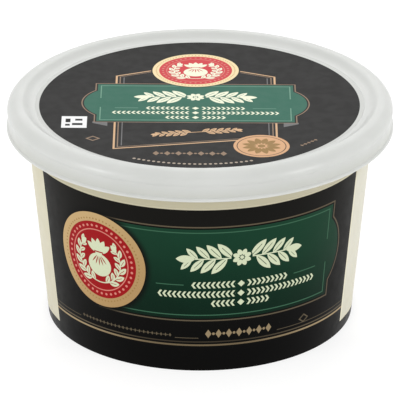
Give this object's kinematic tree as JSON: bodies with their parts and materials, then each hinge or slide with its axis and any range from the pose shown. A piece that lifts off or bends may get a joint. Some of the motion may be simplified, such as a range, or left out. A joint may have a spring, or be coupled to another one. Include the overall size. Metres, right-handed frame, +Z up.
{
  "type": "tub of burrata",
  "caption": "Shut round retail tub of burrata: tapered plastic tub with dark wrap-round label and bare side windows, press-on lid with rolled rim and sunk round label.",
  "frame": {"origin": "centre of the base, on the surface the tub stands on", "axes": "+Z up along the axis of tub and lid; the front of the labels faces -Y"},
  "size_m": [0.12, 0.12, 0.071],
  "materials": {
    "tub_plastic": "translucent cream-white polypropylene, satin gloss",
    "side_label_film": "moulded-in printed film, black with green, red and gold print, gloss",
    "lid_plastic": "frosted translucent white polypropylene, soft sheen",
    "lid_label_film": "moulded-in printed film, black with green, red and gold print, satin gloss"
  },
  "bodies": {
    "root": {"tub": "tub_plastic", "side_label": "side_label_film", "lid": "lid_plastic", "lid_label": "lid_label_film"}
  },
  "joints": []
}
